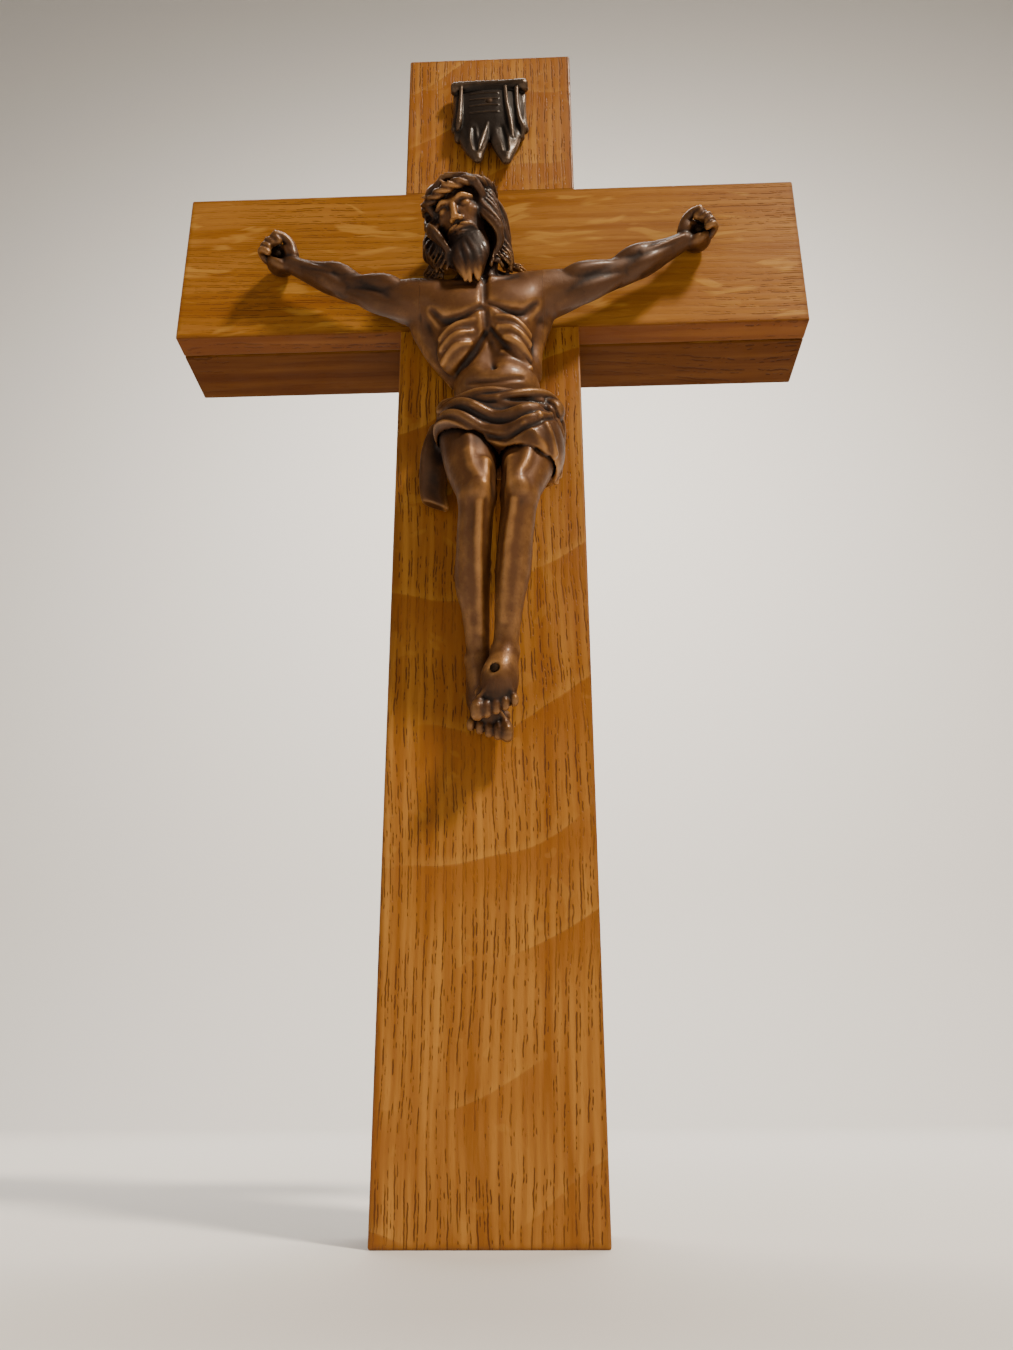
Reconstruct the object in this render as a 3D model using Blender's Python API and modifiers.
"""An oak sick-call cross: a cross-shaped box that stands on its foot, with a crucifix for a lid.

The back half (base) holds candles, a bottle of holy water and a rolled cloth. The front half (cover) carries a
cast figure and slides up on a dovetail tongue. Laid on its back, the base has a cup for a candle in each arm
and a slot across the crossing, in which the cover stands.

Metres. +Z runs up the shaft and -Y is the front. The origin is the centre of the foot, between both halves.
"""

import math

import bmesh
import bpy
from mathutils import Matrix, Vector

MM = 0.001

# Driving dimensions of the cross
WIDTH = 50 * MM  # of the upright and of the crossbar
HEIGHT = 334 * MM
SPAN = 178 * MM  # from end to end of the crossbar
ARM_LOW = 230 * MM  # underside of the crossbar
BASE_DEPTH = 20 * MM
COVER_DEPTH = 8.3 * MM
SEAM = 0.4 * MM  # air between the base and the cover
COVER_LIFT = 0.0 * MM  # the cover's foot is level with the base's, so that the cross stands on both
EASE = 0.5 * MM  # rounding of the outer edges
GLUE_GAP = 0.2 * MM  # between pieces that are glued
FIT_GAP = 0.3 * MM  # between pieces that slide or are pushed in

ARM_TOP = ARM_LOW + WIDTH
BACK = (BASE_DEPTH + SEAM + COVER_DEPTH) / 2
BASE_FACE = BACK - BASE_DEPTH
COVER_BACK = BASE_FACE - SEAM
FRONT = COVER_BACK - COVER_DEPTH

# The dovetail: a groove along the base, open at the top end, and a tongue on the cover
GROOVE_DEPTH = 3.2 * MM
GROOVE_MOUTH = 37 * MM
GROOVE_FLOOR = 41 * MM
GROOVE_STOP = 14 * MM
GROOVE_BED = BASE_FACE + GROOVE_DEPTH
TONGUE_TOP = HEIGHT - 6 * MM
TONGUE_SCREWS = (40 * MM, 165 * MM, 300 * MM)

# Hollows of the base
POCKET_WIDTH = 33 * MM
POCKET_BED = BASE_FACE + 15.2 * MM
POCKET_CORNER = 4 * MM
CANDLE_POCKET = (22 * MM, 142 * MM)
BOTTLE_POCKET = (147 * MM, 222 * MM)
SLOT_LENGTH = WIDTH + 0.8 * MM
SLOT_WIDTH = COVER_DEPTH + 0.6 * MM
SLOT_DEPTH = 12.5 * MM
CUP_OUT = 62 * MM  # from the shaft's middle to a candle cup

# Candle cups, candles and bottle
CUP_INNER = 5.8 * MM
CUP_WALL = 0.5 * MM
CUP_DEPTH = 13 * MM
FLANGE_RADIUS = 8 * MM
FLANGE = 0.8 * MM
CANDLE_RADIUS = 5.4 * MM
CANDLE_LENGTH = 108 * MM
WICK_RADIUS = 0.6 * MM
BOTTLE_SIZE = (20 * MM, 10.6 * MM, 46 * MM)
BOTTLE_WALL = 1.2 * MM
NECK_RADIUS = 3.6 * MM
NECK_LENGTH = 8 * MM
CAP_RADIUS = 5 * MM
CAP_LENGTH = 9 * MM
CLOTH_RADIUS = 4.6 * MM
CLOTH_LENGTH = 98 * MM

# Keyhole hanger let into the back of the head
HANGER_SIZE = (16 * MM, 36 * MM)
HANGER_MIDDLE = 306 * MM
HANGER_PLATE = 1.2 * MM
HANGER_SCREWS = 13 * MM  # from the plate's middle
KEY_RADIUS = 4.2 * MM
KEY_SLOT = 2.1 * MM  # half the slot's width
KEY_RISE = 9 * MM
SCREW_HEAD = 2.7 * MM
SCREW_SHANK = 1.3 * MM

# Figure and scroll. The cast arms meet the body at these planes
BODY_JOIN_RIGHT = -18 * MM
BODY_JOIN_LEFT = 15 * MM
JOIN_LOW = 214 * MM
CASTING_GAP = 0.3 * MM
NAIL_SHANK = 0.6 * MM
NAIL_HEAD = 1.1 * MM
NAILS = {  # x, height above the front face, z
    "nail_right_hand": (-59.5 * MM, 8.5 * MM, 251.9 * MM),
    "nail_left_hand": (59.0 * MM, 8.5 * MM, 256.0 * MM),
    "nail_feet": (2.0 * MM, 16.9 * MM, 121.6 * MM),
}
NAIL_BITE = 5.5 * MM
SCROLL_MIDDLE = 306 * MM
SCROLL_WIDTH = 15.5 * MM

ROUND_STEPS = 24
SMALL_STEPS = 14  # for screws and nails
PART = "sick_call_cross"


# ---------------------------------------------------------------- scene and helpers


def clear_scene():
    for thing in list(bpy.data.objects):
        bpy.data.objects.remove(thing, do_unlink=True)


def collection(name):
    made = bpy.data.collections.new(name)
    bpy.context.scene.collection.children.link(made)
    return made


def material(name, colour, roughness, metallic=0.0, transmission=0.0):
    made = bpy.data.materials.new(name)
    made.use_nodes = True
    made.diffuse_color = (*colour, 1.0)
    shader = made.node_tree.nodes["Principled BSDF"]
    shader.inputs["Base Color"].default_value = (*colour, 1.0)
    shader.inputs["Roughness"].default_value = roughness
    shader.inputs["Metallic"].default_value = metallic
    shader.inputs["Transmission Weight"].default_value = transmission
    return made


def mesh_object(name, bm, finish=None, where=None):
    bmesh.ops.recalc_face_normals(bm, faces=bm.faces)
    mesh = bpy.data.meshes.new(name)
    bm.to_mesh(mesh)
    bm.free()
    made = bpy.data.objects.new(name, mesh)
    (where or PARTS).objects.link(made)
    if finish:
        mesh.materials.append(finish)
    return made


def smooth(obj, degrees=35):
    obj.data.shade_smooth()
    obj.data.set_sharp_from_angle(angle=math.radians(degrees))


def as_helper(obj):
    obj.hide_render = True
    obj.display_type = "WIRE"
    return obj


def box(name, low, high, finish=None, where=None):
    """A block between two corners."""
    low = Vector(low)
    high = Vector(high)
    bm = bmesh.new()
    bmesh.ops.create_cube(bm, size=1.0)
    bmesh.ops.scale(bm, vec=high - low, verts=bm.verts)
    bmesh.ops.translate(bm, vec=(low + high) / 2, verts=bm.verts)
    return mesh_object(name, bm, finish, where)


def cutter_box(name, low, high):
    return as_helper(box(name, low, high, where=CUTTERS))


def rod(name, start, end, radius, finish=None, where=None, steps=ROUND_STEPS, end_radius=None):
    """A round bar or cone between two points."""
    start = Vector(start)
    end = Vector(end)
    along = end - start
    bm = bmesh.new()
    bmesh.ops.create_cone(
        bm,
        cap_ends=True,
        segments=steps,
        radius1=radius,
        radius2=radius if end_radius is None else end_radius,
        depth=along.length,
        matrix=Matrix.Translation((start + end) / 2) @ along.to_track_quat("Z", "Y").to_matrix().to_4x4(),
    )
    return mesh_object(name, bm, finish, where)


def cutter_rod(name, start, end, radius, end_radius=None, steps=ROUND_STEPS):
    return as_helper(rod(name, start, end, radius, where=CUTTERS, steps=steps, end_radius=end_radius))


def boolean(obj, other, operation="DIFFERENCE"):
    step = obj.modifiers.new(operation.lower(), "BOOLEAN")
    step.operation = operation
    step.object = other
    return obj


def extruded(name, outlines, low, high, turn=None, finish=None, where=None):
    """A prism: 2D outlines, the first outside and the rest holes, drawn in X and Y and raised from low to high."""
    curve = bpy.data.curves.new(name, "CURVE")
    curve.dimensions = "2D"
    curve.fill_mode = "BOTH"
    curve.extrude = (high - low) / 2
    for outline in outlines:
        spline = curve.splines.new("POLY")
        spline.points.add(len(outline) - 1)
        for point, (x, y) in zip(spline.points, outline):
            point.co = (x, y, 0, 1)
        spline.use_cyclic_u = True
    drawn = bpy.data.objects.new(name + "_outline", curve)
    (where or PARTS).objects.link(drawn)
    drawn.matrix_world = (turn or Matrix.Identity(4)) @ Matrix.Translation((0, 0, (low + high) / 2))
    bpy.context.view_layer.update()
    mesh = bpy.data.meshes.new_from_object(drawn.evaluated_get(bpy.context.evaluated_depsgraph_get()))
    bm = bmesh.new()
    bm.from_mesh(mesh)
    bm.transform(drawn.matrix_world)
    bmesh.ops.remove_doubles(bm, verts=bm.verts, dist=0.00001)
    bmesh.ops.dissolve_limit(bm, angle_limit=math.radians(1), verts=bm.verts, edges=bm.edges)
    bpy.data.objects.remove(drawn)
    bpy.data.curves.remove(curve)
    bpy.data.meshes.remove(mesh)
    return mesh_object(name, bm, finish, where)


# Drawn outlines stand upright with their Y as world Z, and are raised towards the back
FACING = Matrix.Rotation(math.radians(90), 4, "X") @ Matrix.Scale(-1, 4, (0, 0, 1))


def turned(name, profile, finish, axis_turn, place, steps=ROUND_STEPS):
    """A profile of (radius, height) points, from top to bottom down its outer side, turned about an axis."""
    mesh = bpy.data.meshes.new(name)
    points = [(radius, 0, height) for radius, height in profile]
    mesh.from_pydata(points, [(i, i + 1) for i in range(len(points) - 1)], [])
    made = bpy.data.objects.new(name, mesh)
    PARTS.objects.link(made)
    screw = made.modifiers.new("turn", "SCREW")
    screw.steps = steps
    screw.render_steps = steps
    screw.use_merge_vertices = True
    screw.merge_threshold = 0.00002
    screw.use_smooth_shade = False
    mesh.materials.append(finish)
    made.matrix_world = Matrix.Translation(place) @ axis_turn
    return made


TOWARDS_BACK = Matrix.Rotation(math.radians(-90), 4, "X")  # the profile's height runs along +Y
TOWARDS_FRONT = Matrix.Rotation(math.radians(90), 4, "X")  # the profile's height runs along -Y
UPRIGHT = Matrix.Identity(4)


def rounded_outline(width, height, radius, middle=(0, 0), steps=5):
    """Corners of a rectangle with round corners."""
    outline = []
    for quarter, (sx, sy) in enumerate(((1, 1), (-1, 1), (-1, -1), (1, -1))):
        cx = middle[0] + sx * (width / 2 - radius)
        cy = middle[1] + sy * (height / 2 - radius)
        for step in range(steps + 1):
            angle = math.radians(90) * (quarter + step / steps)
            outline.append((cx + radius * math.cos(angle), cy + radius * math.sin(angle)))
    return outline


def circle_outline(radius, middle=(0, 0), steps=ROUND_STEPS):
    turns = [2 * math.pi * step / steps for step in range(steps)]
    return [(middle[0] + radius * math.cos(a), middle[1] + radius * math.sin(a)) for a in turns]


# ---------------------------------------------------------------- oak halves


def board(name, low, high, joint_planes, finish):
    """A board with eased edges, left sharp where it passes through the crossing and so lies flush."""
    blank = box(name, low, high, finish)
    bm = bmesh.new()
    bm.from_mesh(blank.data)
    for point, normal in joint_planes:
        geometry = bm.verts[:] + bm.edges[:] + bm.faces[:]
        bmesh.ops.bisect_plane(bm, geom=geometry, plane_co=point, plane_no=normal)

    def crosses(edge):
        middle = (edge.verts[0].co + edge.verts[1].co) / 2
        return abs(middle.x) < WIDTH / 2 + MM and ARM_LOW - MM < middle.z < ARM_TOP + MM

    corners = [edge for edge in bm.edges if edge.calc_face_angle() > math.radians(30) and not crosses(edge)]
    bmesh.ops.bevel(bm, geom=corners, offset=EASE, segments=2, profile=0.5, affect="EDGES")
    bmesh.ops.recalc_face_normals(bm, faces=bm.faces)
    bm.to_mesh(blank.data)
    bm.free()
    smooth(blank, 50)
    return blank


def make_half(half, front, back, foot, oak):
    """The upright and the crossbar of one half, lapped at the crossing with the crossbar in front."""
    edge = WIDTH / 2
    gap = GLUE_GAP / 2
    over = 5 * MM
    lap = (front + back) / 2
    across = [((0, 0, ARM_LOW), (0, 0, 1)), ((0, 0, ARM_TOP), (0, 0, 1))]
    upright = board(f"{half}_upright", (-edge, front, foot), (edge, back, HEIGHT), across, oak)
    lap_low = (-edge - over, front - over, ARM_LOW - gap)
    lap_high = (edge + over, lap + gap, ARM_TOP + gap)
    boolean(upright, cutter_box(f"{half}_upright_lap_cut", lap_low, lap_high))
    along = [((-edge, 0, 0), (1, 0, 0)), ((edge, 0, 0), (1, 0, 0))]
    bar_low = (-SPAN / 2, front, ARM_LOW)
    crossbar = board(f"{half}_crossbar", bar_low, (SPAN / 2, back, ARM_TOP), along, oak)
    lap_low = (-edge - GLUE_GAP, lap - gap, ARM_LOW - over)
    lap_high = (edge + GLUE_GAP, back + over, ARM_TOP + over)
    boolean(crossbar, cutter_box(f"{half}_crossbar_lap_cut", lap_low, lap_high))
    return {f"{half}_upright": upright, f"{half}_crossbar": crossbar}


def make_halves(oak):
    boards = make_half("cover", FRONT, COVER_BACK, COVER_LIFT, oak)
    boards.update(make_half("base", BASE_FACE, BACK, 0.0, oak))
    return boards


# ---------------------------------------------------------------- joinery of the base


def dovetail(name, mouth, floor, front, back, low, high, where, finish=None):
    """A prism along Z, narrow at the front and wide at the back."""
    outline = [(-mouth / 2, front), (mouth / 2, front), (floor / 2, back), (-floor / 2, back)]
    return extruded(name, [outline], low, high, finish=finish, where=where)


def cut_groove(boards):
    slope = (GROOVE_FLOOR - GROOVE_MOUTH) / 2 / GROOVE_DEPTH
    over = 2 * MM
    mouth = GROOVE_MOUTH - 2 * slope * over
    groove = dovetail(
        "groove_cut", mouth, GROOVE_FLOOR, BASE_FACE - over, GROOVE_BED, GROOVE_STOP, HEIGHT + over, CUTTERS
    )
    as_helper(groove)
    boolean(boards["base_upright"], groove)
    boolean(boards["base_crossbar"], groove)


def cut_pockets(boards):
    for label, (low, high) in (("candle", CANDLE_POCKET), ("bottle", BOTTLE_POCKET)):
        outline = rounded_outline(POCKET_WIDTH, high - low, POCKET_CORNER, (0, (low + high) / 2))
        pocket = extruded(f"{label}_pocket_cut", [outline], BASE_FACE - MM, POCKET_BED, FACING, where=CUTTERS)
        boolean(boards["base_upright"], as_helper(pocket))


def cut_standing_slot(boards):
    """The slot across the crossing that takes the foot of the cover."""
    middle = (ARM_LOW + ARM_TOP) / 2
    low = (-SLOT_LENGTH / 2, BASE_FACE - MM, middle - SLOT_WIDTH / 2)
    high = (SLOT_LENGTH / 2, BASE_FACE + SLOT_DEPTH, middle + SLOT_WIDTH / 2)
    slot = cutter_box("standing_slot_cut", low, high)
    boolean(boards["base_crossbar"], slot)
    boolean(boards["base_upright"], slot)


def make_candle_cups(boards, brass):
    middle = (ARM_LOW + ARM_TOP) / 2
    outer = CUP_INNER + CUP_WALL
    flange_front = BASE_FACE + 0.2 * MM
    for side, label in ((-1, "right"), (1, "left")):
        at = Vector((side * CUP_OUT, 0, middle))
        bore = ((BASE_FACE - MM, BASE_FACE + CUP_DEPTH + 1.2 * MM, outer + FIT_GAP),)
        seat = ((BASE_FACE - MM, flange_front + FLANGE + FIT_GAP, FLANGE_RADIUS + FIT_GAP),)
        for number, (front, back, radius) in enumerate(bore + seat):
            start = at + Vector((0, front, 0))
            end = at + Vector((0, back, 0))
            boolean(boards["base_crossbar"], cutter_rod(f"{label}_cup_cut_{number}", start, end, radius))
        profile = [
            (0, 0),
            (outer, 0),
            (outer, CUP_DEPTH - FLANGE),
            (FLANGE_RADIUS, CUP_DEPTH - FLANGE),
            (FLANGE_RADIUS, CUP_DEPTH),
            (CUP_INNER, CUP_DEPTH),
            (CUP_INNER, CUP_WALL),
            (0, CUP_WALL),
        ]
        place = at + Vector((0, flange_front + CUP_DEPTH, 0))
        cup = turned(f"candle_cup_{label}", list(reversed(profile)), brass, TOWARDS_FRONT, place)
        smooth(cup)


def make_candles(wax, cotton):
    """Two candles lying in the lower pocket, each with a wick set into its tip."""
    bed = POCKET_BED - CANDLE_RADIUS - FIT_GAP
    recess = WICK_RADIUS + FIT_GAP
    foot = CANDLE_POCKET[0] + 3 * MM
    top = foot + CANDLE_LENGTH
    for number, x in ((1, -10.7 * MM), (2, 0.8 * MM)):
        profile = [
            (0, CANDLE_LENGTH - 3 * MM),
            (recess, CANDLE_LENGTH - 3 * MM),
            (recess, CANDLE_LENGTH),
            (0.45 * CANDLE_RADIUS, CANDLE_LENGTH - 0.8 * MM),
            (0.9 * CANDLE_RADIUS, CANDLE_LENGTH - 8 * MM),
            (CANDLE_RADIUS, CANDLE_LENGTH - 12 * MM),
            (CANDLE_RADIUS, 0.6 * MM),
            (CANDLE_RADIUS - 0.6 * MM, 0),
            (0, 0),
        ]
        candle = turned(f"candle_{number}", profile, wax, UPRIGHT, (x, bed, foot))
        smooth(candle)
        rod(f"wick_{number}", (x, bed, top - 2.6 * MM), (x, bed, top + 5 * MM), WICK_RADIUS, cotton, steps=10)


def make_cloth(linen):
    """The rolled linen cloth beside the candles."""
    bed = POCKET_BED - CLOTH_RADIUS - FIT_GAP
    foot = CANDLE_POCKET[0] + 9 * MM
    cloth = rod("linen_cloth", (11.4 * MM, bed, foot), (11.4 * MM, bed, foot + CLOTH_LENGTH), CLOTH_RADIUS, linen)
    ends = cloth.modifiers.new("soft ends", "BEVEL")
    ends.width = 0.9 * MM
    ends.segments = 2
    ends.limit_method = "ANGLE"
    ends.angle_limit = math.radians(60)
    smooth(cloth)


def make_bottle(glass, tin):
    """A flat bottle, open at the neck, and its screw cap."""
    width, depth, tall = BOTTLE_SIZE
    at_x = -POCKET_WIDTH / 2 + width / 2 + 1.2 * MM
    at_y = POCKET_BED - depth / 2 - FIT_GAP
    foot = BOTTLE_POCKET[0] + 4 * MM
    shoulder = foot + tall
    lip = shoulder + NECK_LENGTH
    outside = rounded_outline(width, depth, 3.6 * MM, (at_x, at_y), steps=4)
    hollow = rounded_outline(
        width - 2 * BOTTLE_WALL, depth - 2 * BOTTLE_WALL, 3.6 * MM - BOTTLE_WALL, (at_x, at_y), steps=4
    )
    bottle = extruded("water_bottle", [outside], foot, shoulder, finish=glass)
    sink = 2 * BOTTLE_WALL
    neck = rod("neck_join", (at_x, at_y, shoulder - sink), (at_x, at_y, lip), NECK_RADIUS, where=CUTTERS)
    boolean(bottle, as_helper(neck), "UNION")
    inside = extruded("bottle_hollow_cut", [hollow], foot + BOTTLE_WALL, shoulder - BOTTLE_WALL, where=CUTTERS)
    boolean(bottle, as_helper(inside))
    bore_foot = (at_x, at_y, shoulder - sink)
    bore = cutter_rod("neck_bore_cut", bore_foot, (at_x, at_y, lip + MM), NECK_RADIUS - BOTTLE_WALL)
    boolean(bottle, bore)
    smooth(bottle, 30)
    skirt = lip - CAP_LENGTH + 2.2 * MM
    inner = NECK_RADIUS + FIT_GAP
    cap_top = skirt + CAP_LENGTH
    profile = [
        (0, CAP_LENGTH),
        (CAP_RADIUS - 0.5 * MM, CAP_LENGTH),
        (CAP_RADIUS, CAP_LENGTH - 0.5 * MM),
        (CAP_RADIUS, 0),
        (inner, 0),
        (inner, lip + FIT_GAP - skirt),
        (0, lip + FIT_GAP - skirt),
    ]
    cap = turned("bottle_cap", profile, tin, UPRIGHT, (at_x, at_y, skirt))
    smooth(cap)
    return cap_top


# ---------------------------------------------------------------- hanger, tongue and their screws


def countersunk_screw(name, place, axis_turn, length, metal, slot_turn=0.0):
    """A slotted wood screw. Its head's top is at place, and it points along the turned axis's minus Z."""
    head = SCREW_HEAD - SCREW_SHANK
    profile = [
        (0, 0),
        (SCREW_HEAD, 0),
        (SCREW_HEAD, -0.2 * MM),
        (SCREW_SHANK, -0.2 * MM - head),
        (SCREW_SHANK, 2 * MM - length),
        (0, -length),
    ]
    screw = turned(name, profile, metal, axis_turn, place, steps=SMALL_STEPS)
    smooth(screw)
    slot = box(
        name + "_slot_cut",
        (-SCREW_HEAD - MM, -0.35 * MM, -0.55 * MM),
        (SCREW_HEAD + MM, 0.35 * MM, MM),
        where=CUTTERS,
    )
    slot.matrix_world = Matrix.Translation(place) @ axis_turn @ Matrix.Rotation(slot_turn, 4, "Z")
    boolean(screw, as_helper(slot))
    return screw


def cut_for_screw(pieces, name, place, towards, length):
    """Clearance for a countersunk screw in the pieces that it passes through."""
    towards = Vector(towards)
    place = Vector(place)
    head = SCREW_HEAD - SCREW_SHANK
    cone_top = place - towards * FIT_GAP
    cone_end = place + towards * (head + 0.5 * MM)
    wide = SCREW_HEAD + 2 * FIT_GAP
    narrow = SCREW_SHANK + FIT_GAP
    cone = cutter_rod(f"{name}_cone_cut", cone_top, cone_end, wide, narrow, steps=SMALL_STEPS)
    shank_end = place + towards * (length + FIT_GAP)
    shank = cutter_rod(f"{name}_shank_cut", cone_top, shank_end, narrow, steps=SMALL_STEPS)
    for piece in pieces:
        boolean(piece, cone)
        boolean(piece, shank)


def make_hanger(boards, brass):
    """A keyhole plate flush in the back of the head, over a pocket for the head of the wall screw."""
    width, tall = HANGER_SIZE
    plate_outline = rounded_outline(width, tall, 3 * MM, (0, HANGER_MIDDLE))
    seat_outline = rounded_outline(width + 2 * FIT_GAP, tall + 2 * FIT_GAP, 3 * MM, (0, HANGER_MIDDLE))
    plate_front = BACK - 0.1 * MM - HANGER_PLATE
    seat = extruded("hanger_seat_cut", [seat_outline], plate_front - FIT_GAP, BACK + MM, FACING, where=CUTTERS)
    boolean(boards["base_upright"], as_helper(seat))
    low = HANGER_MIDDLE - 4 * MM
    pocket_size = (2 * KEY_RADIUS + MM, KEY_RISE + 2 * KEY_RADIUS)
    pocket_outline = rounded_outline(*pocket_size, KEY_RADIUS, (0, low + KEY_RISE / 2))
    pocket = extruded("hanger_pocket_cut", [pocket_outline], BACK - 7 * MM, BACK + MM, FACING, where=CUTTERS)
    boolean(boards["base_upright"], as_helper(pocket))
    plate = extruded("hanger_plate", [plate_outline], plate_front, BACK - 0.1 * MM, FACING, finish=brass)
    hole_front = (0, plate_front - MM, low)
    hole_back = (0, BACK + MM, low)
    boolean(plate, cutter_rod("keyhole_cut", hole_front, hole_back, KEY_RADIUS))
    slot_outline = rounded_outline(2 * KEY_SLOT, KEY_RISE + KEY_SLOT, KEY_SLOT * 0.98, (0, low + KEY_RISE / 2))
    slot = extruded("keyhole_slot_cut", [slot_outline], plate_front - MM, BACK + MM, FACING, where=CUTTERS)
    boolean(plate, as_helper(slot))
    for number, side in ((1, -1), (2, 1)):
        place = (0, BACK - 0.2 * MM, HANGER_MIDDLE + side * HANGER_SCREWS)
        name = f"hanger_screw_{number}"
        countersunk_screw(name, place, TOWARDS_BACK, 9 * MM, brass, slot_turn=0.6 * number)
        cut_for_screw([plate, boards["base_upright"]], name, place, (0, -1, 0), 9 * MM)


def make_tongue(boards, oak, brass):
    """The dovetail tongue that is screwed to the back of the cover and runs in the base's groove."""
    front = COVER_BACK + GLUE_GAP
    back = GROOVE_BED - FIT_GAP
    slope = (GROOVE_FLOOR - GROOVE_MOUTH) / 2 / GROOVE_DEPTH
    front_width = GROOVE_MOUTH - 2 * FIT_GAP + 2 * slope * (front - BASE_FACE)
    back_width = front_width + 2 * slope * (back - front)
    low = GROOVE_STOP + FIT_GAP
    tongue = dovetail("cover_tongue", front_width, back_width, front, back, low, TONGUE_TOP, PARTS, oak)
    for number, z in enumerate(TONGUE_SCREWS, 1):
        place = (0, back - 0.2 * MM, z)
        name = f"tongue_screw_{number}"
        countersunk_screw(name, place, TOWARDS_BACK, 8 * MM, brass, slot_turn=0.5 * number)
        cut_for_screw([tongue, boards["cover_upright"]], name, place, (0, -1, 0), 8 * MM)


# ---------------------------------------------------------------- figure


def on_front(x, out, z):
    """A point given in millimetres: across, out from the front face, and up."""
    return Vector((x * MM, FRONT - out * MM, z * MM))


def add_ball(bm, centre, radii, tilt=(0, 0, 0)):
    """An ellipsoid with radii across, outwards and up, turned by degrees about X, Y and Z."""
    turn = Matrix.Identity(4)
    for axis, degrees in zip("XYZ", tilt):
        turn = Matrix.Rotation(math.radians(degrees), 4, axis) @ turn
    size = Matrix.Diagonal((*(r * MM for r in radii), 1))
    place = Matrix.Translation(on_front(*centre)) @ turn @ size
    bmesh.ops.create_uvsphere(bm, u_segments=20, v_segments=12, radius=1, matrix=place)


def add_limb(bm, joints):
    """A chain of tapering bars with a ball at each joint. Each joint is (across, out, up, radius)."""
    for x, out, z, radius in joints:
        add_ball(bm, (x, out, z), (radius, radius, radius))
    for first, second in zip(joints, joints[1:]):
        start = on_front(*first[:3])
        end = on_front(*second[:3])
        along = end - start
        place = Matrix.Translation((start + end) / 2) @ along.to_track_quat("Z", "Y").to_matrix().to_4x4()
        bmesh.ops.create_cone(
            bm,
            cap_ends=True,
            segments=16,
            radius1=first[3] * MM,
            radius2=second[3] * MM,
            depth=along.length,
            matrix=place,
        )


def cast_piece(name, bm, finish, voxel, keep):
    """Fuses overlapping forms into one skin, as a casting, and thins its triangles."""
    piece = mesh_object(name, bm, finish)
    fuse = piece.modifiers.new("fuse", "REMESH")
    fuse.mode = "VOXEL"
    fuse.voxel_size = voxel
    blend = piece.modifiers.new("blend", "SMOOTH")
    blend.factor = 0.5
    blend.iterations = 5
    thin = piece.modifiers.new("thin", "DECIMATE")
    thin.ratio = keep
    graph = bpy.context.evaluated_depsgraph_get()
    fused = bpy.data.meshes.new_from_object(piece.evaluated_get(graph))
    piece.modifiers.clear()
    piece.data = fused
    piece.data.name = name
    smooth(piece, 60)
    over = 40 * MM
    wood_low = (-SPAN, FRONT - CASTING_GAP, 0)
    wood_high = (SPAN, over, HEIGHT)
    boolean(piece, cutter_box(name + "_back_cut", wood_low, wood_high))
    return piece


def hollow_back(body):
    """Takes out the trunk and the hips from behind, which leaves walls of about 3 mm, as such castings have."""
    hollows = {
        "chest": ((-0.4, 4.5, 220.0), (12.4, 11.6, 11.0)),
        "belly": ((1.8, 4.5, 205.0), (9.2, 10.4, 12.0)),
        "hips": ((3.2, 4.5, 188.5), (12.0, 12.4, 8.5)),
    }
    for label, (centre, radii) in hollows.items():
        bm = bmesh.new()
        add_ball(bm, centre, radii)
        boolean(body, as_helper(mesh_object(f"corpus_{label}_hollow_cut", bm, where=CUTTERS)))


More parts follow.
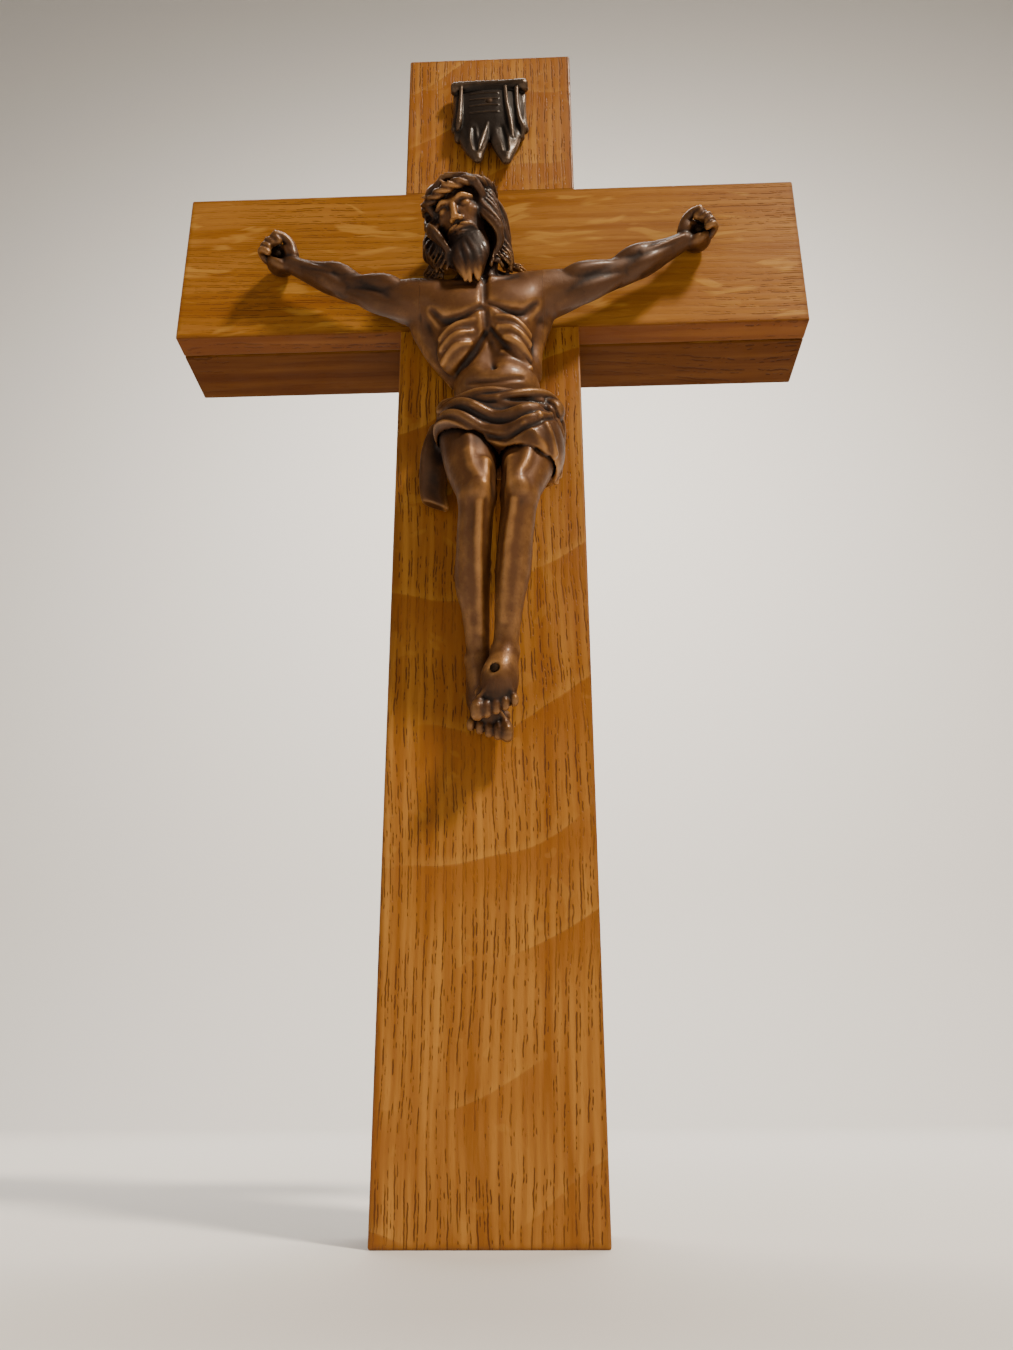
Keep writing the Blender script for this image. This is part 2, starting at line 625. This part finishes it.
def make_body(bronze):
    """Head, trunk, loincloth and legs. The legs cross at the feet, the left foot in front."""
    bm = bmesh.new()
    add_ball(bm, (-5.0, 14.5, 255.5), (8.6, 9.6, 11.5), (18, -12, 0))  # head and crown
    add_ball(bm, (-13.5, 9.5, 250.5), (5.0, 6.5, 10.5), (0, -10, 0))  # hair at its right
    add_ball(bm, (3.6, 9.5, 250.0), (4.4, 6.0, 9.5), (0, 12, 0))  # hair at its left
    add_ball(bm, (-3.6, 19.5, 242.0), (4.6, 5.0, 7.0), (20, -8, 0))  # beard
    add_limb(bm, [(0.0, 9.0, 233.0, 6.0), (-2.5, 11.5, 245.0, 5.2)])  # neck
    add_ball(bm, (-1.2, 8.8, 231.5), (18.0, 6.8, 6.5))  # shoulders
    add_ball(bm, (-0.6, 10.2, 221.0), (16.5, 9.6, 12.5))  # ribs
    add_ball(bm, (1.0, 9.6, 213.0), (13.2, 8.2, 13.0))  # waist
    add_ball(bm, (2.2, 10.0, 204.5), (12.8, 8.8, 11.5))  # belly
    add_ball(bm, (3.2, 11.0, 188.5), (16.6, 10.5, 10.5), (0, 4, 0))  # hips in the cloth
    add_limb(bm, [(-10.5, 6.5, 192.0, 5.0), (-13.0, 4.2, 180.0, 4.2), (-12.6, 3.2, 171.5, 3.0)])  # end of the cloth
    add_limb(bm, [(15.5, 9.5, 190.0, 5.0), (16.6, 9.5, 178.5, 3.4)])  # cloth over the left hip
    add_limb(bm, [(-4.4, 12.0, 186.0, 8.2), (-1.8, 21.5, 164.0, 5.6), (-2.4, 8.5, 131.0, 3.8), (-2.2, 6.0, 127.0, 3.8)])
    add_limb(bm, [(10.6, 12.0, 186.0, 8.0), (8.6, 21.5, 164.0, 5.2), (5.9, 12.5, 131.0, 3.7), (5.2, 11.5, 126.0, 3.9)])
    add_limb(bm, [(4.8, 11.6, 125.0, 4.2), (2.8, 11.6, 115.5, 4.7), (2.2, 12.0, 112.8, 4.2)])  # left foot
    add_limb(bm, [(-2.2, 5.6, 126.0, 3.6), (-0.2, 4.4, 113.0, 4.2), (2.2, 4.0, 109.5, 3.4)])  # right foot
    body = cast_piece("corpus_body", bm, bronze, 1.1 * MM, 0.1)
    hollow_back(body)
    over = 60 * MM
    for label, inner, side in (("right", BODY_JOIN_RIGHT, -1), ("left", BODY_JOIN_LEFT, 1)):
        edge = inner - side * CASTING_GAP / 2
        low = (min(edge, edge + side * over), -over, JOIN_LOW)
        high = (max(edge, edge + side * over), over, HEIGHT)
        boolean(body, cutter_box(f"corpus_{label}_join_cut", low, high))
    return body


def make_arm(name, joints, hand, join, side, bronze):
    """An arm cast apart from the body, with a half-closed hand."""
    bm = bmesh.new()
    add_limb(bm, joints)
    for centre, radii, tilt in hand:
        add_ball(bm, centre, radii, tilt)
    arm = cast_piece(name, bm, bronze, 1.0 * MM, 0.13)
    edge = join + side * CASTING_GAP / 2
    over = 40 * MM
    low = (min(edge, edge - side * over), -over, ARM_LOW - over)
    high = (max(edge, edge - side * over), over, ARM_TOP + over)
    boolean(arm, cutter_box(name + "_join_cut", low, high))
    return arm


def make_figure(boards, bronze, iron):
    body = make_body(bronze)
    right_joints = [
        (-13.0, 9.0, 230.8, 7.2),
        (-21.5, 8.9, 232.4, 6.6),
        (-29.0, 8.8, 235.0, 5.8),
        (-38.6, 8.0, 239.4, 4.9),
        (-44.5, 7.6, 242.0, 4.7),
        (-50.2, 7.0, 245.5, 3.7),
        (-55.4, 6.6, 248.8, 2.9),
    ]
    right_hand = [((-59.2, 6.0, 251.6), (5.0, 3.6, 5.0), (0, 30, 0)), ((-62.6, 7.2, 254.2), (3.0, 3.8, 4.2), (0, 30, 0))]
    left_joints = [
        (11.0, 9.0, 231.4, 7.2),
        (18.6, 8.9, 234.0, 6.7),
        (26.6, 8.8, 237.0, 5.9),
        (37.8, 8.0, 242.2, 5.0),
        (43.0, 7.6, 245.0, 4.9),
        (49.6, 7.0, 249.4, 3.8),
        (54.9, 6.6, 252.9, 2.9),
    ]
    left_hand = [((58.7, 6.0, 255.7), (5.0, 3.6, 5.0), (0, -33, 0)), ((62.0, 7.2, 258.2), (3.0, 3.8, 4.2), (0, -33, 0))]
    arms = {
        "nail_right_hand": make_arm("corpus_right_arm", right_joints, right_hand, BODY_JOIN_RIGHT, -1, bronze),
        "nail_left_hand": make_arm("corpus_left_arm", left_joints, left_hand, BODY_JOIN_LEFT, 1, bronze),
        "nail_feet": body,
    }
    for name, (x, out, z) in NAILS.items():
        wood = boards["cover_upright" if name == "nail_feet" else "cover_crossbar"]
        make_nail(name, x, out, z, [arms[name], wood], iron)


def make_nail(name, x, out, z, through, iron):
    """A round-headed nail driven through a hand or the feet into the oak."""
    length = out + NAIL_BITE
    dome = 0.9 * MM
    profile = [(0, 0)]
    profile += [
        (NAIL_HEAD * math.sin(math.radians(a)), dome * (math.cos(math.radians(a)) - 1)) for a in (30, 60, 90)
    ]
    profile += [(NAIL_SHANK, -dome - 0.1 * MM), (NAIL_SHANK, 1.5 * MM - length), (0, -length)]
    nail = turned(name, profile, iron, TOWARDS_FRONT, (x, FRONT - out, z), steps=12)
    smooth(nail)
    start = (x, FRONT - out - 8 * MM, z)
    seat = (x, FRONT - out + dome + 0.1 * MM + FIT_GAP, z)
    head_cut = cutter_rod(name + "_head_cut", start, seat, NAIL_HEAD + FIT_GAP)
    shank_cut = cutter_rod(name + "_shank_cut", start, (x, FRONT + NAIL_BITE + FIT_GAP, z), NAIL_SHANK + FIT_GAP)
    boolean(through[0], head_cut)
    for piece in through:
        boolean(piece, shank_cut)


# ---------------------------------------------------------------- scroll


def make_scroll(boards, bronze, iron):
    """The parchment above the head: a curling sheet with a roll at its top and two tails, on a pin."""
    half = SCROLL_WIDTH / 2
    top = SCROLL_MIDDLE + 11 * MM
    right = [
        (0.0, top),
        (half, top),
        (half - 0.4 * MM, SCROLL_MIDDLE + 2 * MM),
        (half + 0.8 * MM, SCROLL_MIDDLE - 8 * MM),
        (half - 2.4 * MM, SCROLL_MIDDLE - 19.5 * MM),
        (0.8 * MM, SCROLL_MIDDLE - 11 * MM),
    ]
    left = [(-0.5 * MM - x * 0.9, z + 0.8 * MM) for x, z in reversed(right[3:])]
    left += [(-half + 0.4 * MM, SCROLL_MIDDLE + 2 * MM), (-half, top)]
    sheet_front = FRONT - 4.2 * MM
    sheet_back = FRONT - 1.6 * MM
    scroll = extruded("title_scroll", [right + left], sheet_front, sheet_back, FACING, finish=bronze)
    roll_out = FRONT - 3.4 * MM
    roll_start = (-half - 2 * MM, roll_out, top)
    roll_end = (half + 2 * MM, roll_out, top)
    roll = rod("scroll_roll_join", roll_start, roll_end, 2.5 * MM, where=CUTTERS, steps=16)
    boolean(scroll, as_helper(roll), "UNION")
    for side in (-1, 1):
        start = (side * (half + 0.2 * MM), roll_out, top)
        end = (side * (half + 0.9 * MM), roll_out + 0.4 * MM, SCROLL_MIDDLE - 9 * MM)
        hem = rod("scroll_hem_join", start, end, 1.6 * MM, where=CUTTERS, steps=12, end_radius=1.3 * MM)
        boolean(scroll, as_helper(hem), "UNION")
    pin_z = SCROLL_MIDDLE + 4 * MM
    pin_front = sheet_front + 0.6 * MM
    rod("scroll_pin", (0, pin_front, pin_z), (0, FRONT + 4 * MM, pin_z), 0.8 * MM, iron, steps=12)
    hole = cutter_rod(
        "scroll_pin_cut", (0, pin_front - FIT_GAP, pin_z), (0, FRONT + 4 * MM + FIT_GAP, pin_z), 0.8 * MM + FIT_GAP
    )
    boolean(scroll, hole)
    boolean(boards["cover_upright"], hole)


# ---------------------------------------------------------------- moving halves

COVER_PIECES = ("cover_", "tongue_", "corpus_", "nail_", "title_", "scroll_")


def group_halves():
    """Parents each piece to its half's empty. The cover's empty lies on the line that the cover slides along."""
    halves = {}
    for half, y in (("base", 0.0), ("cover", COVER_BACK)):
        empty = bpy.data.objects.new(half, None)
        empty.empty_display_size = WIDTH
        empty.location = (0, y, 0)
        bpy.context.scene.collection.objects.link(empty)
        halves[half] = empty
    bpy.context.view_layer.update()
    for holder in (PARTS, CUTTERS):
        for piece in holder.objects:
            empty = halves["cover" if piece.name.startswith(COVER_PIECES) else "base"]
            piece.parent = empty
            piece.matrix_parent_inverse = empty.matrix_world.inverted()


# ---------------------------------------------------------------- whole object

clear_scene()
PARTS = collection(PART)
CUTTERS = collection("cutters")

OAK = material("oak", (0.50, 0.26, 0.06), 0.42)
BRONZE = material("bronze", (0.11, 0.055, 0.03), 0.36, metallic=0.6)
IRON = material("iron", (0.05, 0.04, 0.035), 0.4, metallic=0.9)
BRASS = material("brass", (0.62, 0.42, 0.16), 0.3, metallic=1.0)
WAX = material("beeswax", (0.80, 0.62, 0.28), 0.5)
COTTON = material("cotton", (0.85, 0.82, 0.74), 0.9)
LINEN = material("linen", (0.86, 0.84, 0.78), 0.9)
GLASS = material("glass", (0.85, 0.92, 0.90), 0.05, transmission=1.0)
TIN = material("tin", (0.55, 0.55, 0.54), 0.35, metallic=1.0)

BOARDS = make_halves(OAK)
cut_groove(BOARDS)
cut_pockets(BOARDS)
cut_standing_slot(BOARDS)
make_candle_cups(BOARDS, BRASS)
make_candles(WAX, COTTON)
make_cloth(LINEN)
make_bottle(GLASS, TIN)
make_hanger(BOARDS, BRASS)
make_tongue(BOARDS, OAK, BRASS)
make_figure(BOARDS, BRONZE, IRON)
make_scroll(BOARDS, BRONZE, IRON)
group_halves()
